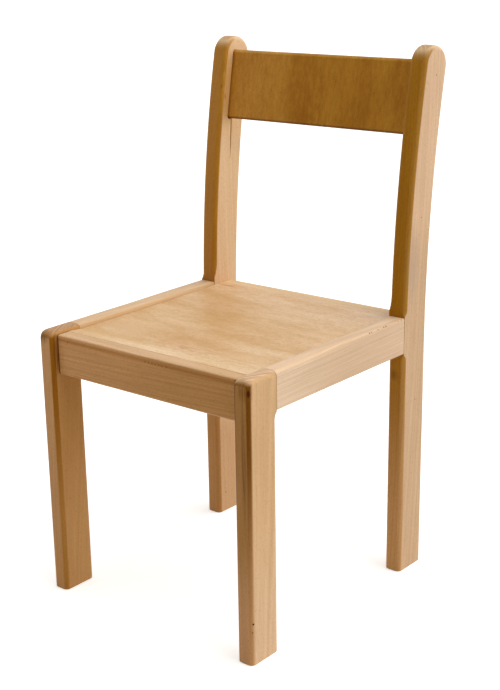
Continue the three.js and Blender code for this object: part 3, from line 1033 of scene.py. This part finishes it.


# %% Posts, cut and dressed
# The posts' front and edge colours are painted shade, darker and more golden higher up.
POST_WOOD = {
    "left": {
        "front": ((198, 145, 89), (180, 124, 52), 0.10, 0.45),
        # Darker towards the foot: painted shade.
        "broad": ((210, 167, 125), BEECH_BROAD, 0.14, 0.26),
        "edge": ((186, 134, 78), (178, 123, 38), 0.10, 0.50),
        "marks": (
            spot(-0.1850, 0.4154, 0.0375, 0.0018),
            blot(-0.1870, 0.4300, 0.7900, (0.003, 0.003, 0.005), (138, 90, 46)),
            blot(-0.1860, 0.4360, 0.7720, (0.002, 0.003, 0.009), (142, 94, 48)),
            blot(-0.1850, 0.4480, 0.7800, (0.004, 0.036, 0.105), (232, 176, 78)),
            blot(-0.1900, 0.4498, 0.7080, (0.0045, 0.010, 0.060), (40, 22, 8)),  # in the crack
        ),
    },
    "right": {
        "front": ((205, 155, 99), (166, 112, 18), 0.06, 0.40),
        "broad": ((206, 172, 137), (218, 183, 149), 0.52, 0.62),
        "edge": ((204, 156, 104), (170, 120, 44), 0.05, 0.48),
        "contrast": 1.5,
        "marks": (
            spot(0.2150, 0.4720, 0.8255, 0.0014), spot(0.2150, 0.4324, 0.3033, 0.0014),
            spot(0.2150, 0.4389, 0.6066, 0.0012),
            blot(0.2150, 0.4630, 0.8070, (0.012, 0.014, 0.034), (216, 174, 146)),
            blot(0.2150, 0.4200, 0.5300, (0.012, 0.022, 0.085), (168, 142, 120)),
            blot(0.1970, 0.3960, 0.3515, (0.012, 0.006, 0.013), (118, 74, 8)),
        ),
    },
}

for seed, (side, sign) in enumerate(SIDES.items(), start=7):
    post = raw_piece(f"post_{side}", post_skin(sign))
    cut(post, housing_cutter(sign))
    if side == "left":
        cut(post, crack_cutter())
    wood = beech(f"beech_post_{side}", "z", LOG_STEP * seed, **POST_WOOD[side])
    dress(post, f"rear_post_{side}", wood)

# %% [markdown]
# ## Veneers
#
# The seat and the backrest are pressed plywood with a beech face. Rotary-cut veneer is peeled off the
# log like paper off a roll, so the knife runs nearly along the rings: its figure is broad, soft clouds
# with long faint lines, and its flecks are even. On the edges the plies show as thin light and dark
# layers.

# %% Veneer
VENEER_FIGURE = (  # of clouds, lines, mottle and fibres: size across and along the grain, detail
    ((0.0450, 0.160), 3.0), ((0.0030, 0.260), 3.0), ((0.0060, 0.016), 2.0), ((0.0006, 0.030), 2.0),
)
VENEER_FLECKS = 0.38
VENEER_RELIEF = 0.00005
VENEER_ROUGHNESS = (0.38, 0.48)
PLY = 0.0015
PLY_LINE = (0.4, 0.6)  # of a ply's thickness, where its dark half begins and where it is full
PLY_LINE_SHARE = 0.5  # how dark it is
EDGE_ON = (0.7, 0.4)  # from a face to an edge, by how squarely it looks through the plies


def veneer(name, along, seed, light, dark, fleck, layers, weights, tints=(), marks=()):
    """along is the face grain's axis, and layers the axis through the plies."""
    finish = Finish(name)
    place = grain_place(finish, along, seed)
    clouds, lines, mottle, fibres = [grain_noise(finish, place, *kind) for kind in VENEER_FIGURE]
    figure = figure_of(finish, zip((clouds, lines, mottle, fibres), weights))
    colour = tinted(finish, finish.blend(figure, paint(light), paint(dark)), tints)
    flecks = ray_flecks(finish, place)
    colour = finish.blend(finish.sums("MULTIPLY", flecks, VENEER_FLECKS), colour, paint(fleck))

    depth = finish.sums("PINGPONG", finish.along(finish.place(), layers), PLY)
    edge_on = finish.ramp(finish.sums("ABSOLUTE", finish.along(finish.facing(), layers)), *EDGE_ON)
    line = finish.sums("MULTIPLY", edge_on, finish.ramp(depth, *[share * PLY for share in PLY_LINE]))
    colour = finish.blend(finish.sums("MULTIPLY", line, PLY_LINE_SHARE), colour, paint(fleck))
    roughness = finish.ramp(clouds, *MIDDLE, *VENEER_ROUGHNESS)
    colour = marked(finish, colour, marks, mottle)
    return wood_surface(finish, colour, roughness, flecks, fibres, VENEER_RELIEF)


print("veneers mixed")

# %% [markdown]
# ## Seat panel
#
# The seat is one pressed panel. Behind the front rail it falls quickly into a shallow dish, and from
# there it rises slowly to the rear rail; towards the sides the dish is half as deep. The dish could be
# sculpted, but a height formula says exactly what the press does. The panel's underside follows, because
# plywood keeps its thickness. So the panel is a loft too: each ring goes across its top and back below,
# the rings are closer together where the dish is steep, and the border is eased, which draws the line
# to the rails.

# %% The dish
PANEL_THICKNESS = 0.012
DISH_DEPTH = 0.0045
DISH_FRONT_SLOPE = 0.034
DISH_REAR_SLOPE = 0.230
DISH_SIDE_SHARE = 0.5  # share of the depth that is left at the panel's sides
FRONT_CELLS = 24
PANEL_CELLS = 56

panel_front = front_high.y
panel_back = rear_low.y
panel_middle = (panel_front + panel_back) / 2


def dish(x, y):
    """How far the seat lies below its front and rear edges."""
    down = smooth((y - panel_front) / DISH_FRONT_SLOPE)
    up = smooth((panel_back - y) / DISH_REAR_SLOPE)
    return DISH_DEPTH * down * up * (1 - (1 - DISH_SIDE_SHARE) * (x / INNER_HALF) ** 2)


# %% Seat panel
def seat_skin():
    across = [-INNER_HALF, *steps(EASED - INNER_HALF, INNER_HALF - EASED, PANEL_CELLS), INNER_HALF]
    slope_end = panel_front + DISH_FRONT_SLOPE
    along = [panel_front, *steps(panel_front + EASED, slope_end, FRONT_CELLS),
             *steps(slope_end, panel_back - EASED, PANEL_CELLS)[1:], panel_back]
    rings = []
    for y in along:
        top, under = [], []
        for x in across:
            is_border = x in (across[0], across[-1]) or y in (along[0], along[-1])
            groove = JOINT_GROOVE if is_border else 0.0
            surface = SEAT_TOP - dish(x, y)
            top.append((x, y, surface - groove))
            under.append((x, y, surface - PANEL_THICKNESS + groove))
        rings.append(top + under[::-1])
    return loft(rings)


SEAT_JOINTS_AND_PAINTED_SHEEN = (
    *joint_lines("x", -INNER_HALF, INNER_HALF), joint_line("y", panel_back, -1),
    joint_line("y", panel_front, 1, (0.62, 0.50, 0.36)),
    # Paler towards the right. Paler and whiter towards the front and the rear: painted sheen on the dish's
    # slopes.
    ("x", -0.04, 0.16, (1.08, 1.13, 1.24)),
    ("y", CHAIR_FRONT + 0.120, CHAIR_FRONT + 0.050, (1.10, 1.21, 1.36)),
    ("y", CHAIR_FRONT + 0.270, CHAIR_FRONT + 0.410, (1.05, 1.11, 1.27)),
)
SEAT_MARKS = (
    blot(0.0100, 0.0900, SEAT_TOP, (0.110, 0.030, 0.030), (214, 162, 112)),
    blot(-0.1000, 0.3050, SEAT_TOP, (0.110, 0.060, 0.030), (218, 172, 124)),
    blot(-0.1250, 0.1100, SEAT_TOP, (0.070, 0.055, 0.030), (225, 186, 140)),
    blot(0.1200, 0.1080, SEAT_TOP, (0.070, 0.020, 0.030), (240, 202, 160)),
    # Darker on the rear slope at the left: painted shade.
    blot(-0.1600, 0.4050, SEAT_TOP, (0.034, 0.008, 0.010), (196, 148, 100)),
)
SEAT_LOG = 3.3
SEAT_WEIGHTS = (1.2, 0.15, 0.6, 0.3)
seat_veneer = veneer("veneer_seat", "x", SEAT_LOG, (235, 198, 151), (212, 164, 108), (180, 128, 78),
                     "z", SEAT_WEIGHTS, SEAT_JOINTS_AND_PAINTED_SHEEN, SEAT_MARKS)
dress(raw_piece("seat", seat_skin()), "seat_panel", seat_veneer)

# %% [markdown]
# ## Backrest board
#
# The board is bent plywood: its middle stands 4 mm back from its ends, so a sitter's back doesn't meet a
# flat plane. Its long edges are nearly half round, and its ends run on into the posts' housings. It is
# drawn in its own leaning frame, and its object carries that frame, so that the veneer's grain stands
# upright on the board and not in the room.

# %% Backrest board
BOARD_STEPS = 36


def board_skin():
    """The board from end to end, in its own leaning frame."""
    end = INNER_HALF + HOUSING_DEPTH - FIT
    rings = []
    for x in [-end, *steps(-INNER_HALF, INNER_HALF, BOARD_STEPS), end]:
        bow = BOARD_BOW * max(1 - (x / INNER_HALF) ** 2, 0.0)
        outline = section(
            (bow, -BOARD_HEIGHT / 2), (bow + BOARD_THICKNESS, BOARD_HEIGHT / 2), [BOARD_ROUND] * 4,
        )
        rings.append([(x, behind, up) for behind, up in outline])
    return loft(rings)


board = raw_piece("backrest", board_skin())
board.matrix_world = board_frame
BOARD_TONES_AND_PAINTED_EDGE_LIGHT = (
    ("x", -0.12, -0.03, (0.89, 0.88, 0.55)),
    ("x", -0.1800, -0.1825, (0.86, 0.82, 0.66)),
    # Near black along the lower edge: painted shadow under the board.
    ("z", -0.0535, -0.0575, (0.34, 0.28, 0.13)),
    # Paler and whiter along the upper edge: painted highlight.
    ("z", 0.0525, 0.0550, (1.25, 1.45, 2.40)),
)
KNOCK = board_frame.inverted() @ Vector((0.1767, CHAIR_FRONT + 0.4400, 0.7650))
BOARD_MARKS = ((KNOCK, (0.0016,) * 3, (84, 50, 20)),)
BOARD_LOG = 5.1
BOARD_WEIGHTS = (0.7, 0.2, 0.5, 0.3)
# The board's veneer is painted darker and more golden than the seat's: painted shade on its face, which
# turns away from the lamps.
back_veneer = veneer("veneer_back", "z", BOARD_LOG, (202, 144, 58), (162, 101, 24), (128, 80, 22),
                     "y", BOARD_WEIGHTS, BOARD_TONES_AND_PAINTED_EDGE_LIGHT, BOARD_MARKS)
dress(board, "back_board", back_veneer)

# %% [markdown]
# ## Corner blocks and dowels
#
# Under the seat, a sawn beech block braces each corner, and inside the joints sit turned dowels. Their
# shapes in the frame are right as they are, so they stay and only get their wood: unlacquered, drier
# and rougher than the frame's.

# %% Corner blocks and dowels
SAWN_WOOD = {  # the axis of the grain and the log's seed
    "corner_block": beech("beech_block", "x", 12.1, lacquered=False),
    "dowel": beech("beech_dowel", "y", 14.3, lacquered=False),
}
for kind, wood in SAWN_WOOD.items():
    pieces = [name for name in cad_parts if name.startswith(kind)]
    for name in pieces:
        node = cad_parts[name]
        node.data.materials.clear()
        node.data.materials.append(wood)
    print(kind, len(pieces), "pieces keep their shape and get their wood")

# %% [markdown]
# ## Screws
#
# Two screws hold each block. They are zinc plated steel with a domed head and a cross in it. The body is
# turned: a profile spun round the screw's axis.

# %% Zinc plated steel
ZINC_LIGHT = (176, 174, 166)
ZINC_DARK = (150, 150, 148)
ZINC_ROUGHNESS = (0.28, 0.42)
ZINC_PATCHES = 900.0  # to a metre


def zinc():
    finish = Finish("zinc_plated_steel")
    patches = finish.noise(finish.vector("MULTIPLY", finish.place(), (ZINC_PATCHES,) * 3), 3.0)
    return finish.surface({
        "Base Color": finish.blend(finish.ramp(patches, *MIDDLE), paint(ZINC_LIGHT), paint(ZINC_DARK)),
        "Metallic": 1.0, "Roughness": finish.ramp(patches, *MIDDLE, *ZINC_ROUGHNESS),
    })


steel = zinc()

# %% Screws
SCREW_RADIUS = 0.002
SCREW_CORE = 0.0014
SCREW_HEAD_RADIUS = 0.004
SCREW_HEAD_HEIGHT = 0.0024
SCREW_PITCH = 0.0018
SCREW_POINT = 0.004
TURN_STEPS = 24
CROSS_WIDTH = 0.0008
CROSS_REACH = 0.0023
CROSS_DEPTH = 0.0014
CROSS_TAPER = 0.6


def screw_profile(length):
    """(distance along, radius) from the top of the head to the point."""
    profile = [
        (SCREW_HEAD_HEIGHT * (1 - math.sin(turn)), SCREW_HEAD_RADIUS * math.cos(turn))
        for turn in steps(math.pi / 2, 0.0, ROUND_STEPS)
    ]
    for turn in range(int((length - SCREW_HEAD_HEIGHT - SCREW_POINT) / SCREW_PITCH)):
        start = SCREW_HEAD_HEIGHT + turn * SCREW_PITCH
        profile += [(start, SCREW_CORE), (start + SCREW_PITCH / 2, SCREW_RADIUS)]
    return [*profile, (length - SCREW_POINT, SCREW_CORE), (length, 0.0)]


def screw_skin(length, place):
    skin = bmesh.new()
    rows = []
    for along, radius in screw_profile(length):
        spin = [2 * math.pi * step / TURN_STEPS for step in range(TURN_STEPS)]
        points = [Vector((radius * math.cos(turn), radius * math.sin(turn), along)) for turn in spin]
        points = points if radius > EASED / 4 else [Vector((0.0, 0.0, along))]
        rows.append([skin.verts.new(place @ point) for point in points])
    for here, there in zip(rows, rows[1:]):
        for i in range(TURN_STEPS):
            around = ((here, i), (here, i + 1), (there, i + 1), (there, i))
            corners = [row[k % len(row)] for row, k in around]
            skin.faces.new(list(dict.fromkeys(corners)))
    return skin


def cross_cutter(place, arm, width):
    """One arm of the driver's cross, narrower at its bottom."""
    rings = []
    for along, share in ((-OVERRUN, 1.0), (0.0, 1.0), (CROSS_DEPTH, CROSS_TAPER)):
        rings.append([
            place @ Vector((share * arm * a, share * width * b, along))
            for a, b in ((-1, -1), (1, -1), (1, 1), (-1, 1))
        ])
    return raw_piece("cross_arm", loft(rings))


for name in [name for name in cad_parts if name.startswith("screw")]:
    low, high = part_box(name)
    middle, spans = (low + high) / 2, high - low
    axis = max(range(3), key=lambda i: spans[i])
    outward = middle[axis] > (0.0 if axis == 0 else panel_middle)
    towards = Vector([float(i == axis) for i in range(3)]) * (1 if outward else -1)
    head = middle - towards * spans[axis] / 2
    place = Matrix.Translation(head) @ towards.to_track_quat("Z", "Y").to_matrix().to_4x4()
    screw = raw_piece(f"{name}_turned", screw_skin(spans[axis], place))
    cut(screw, cross_cutter(place, CROSS_REACH, CROSS_WIDTH))
    cut(screw, cross_cutter(place, CROSS_WIDTH, CROSS_REACH))
    dress(screw, name, steel)
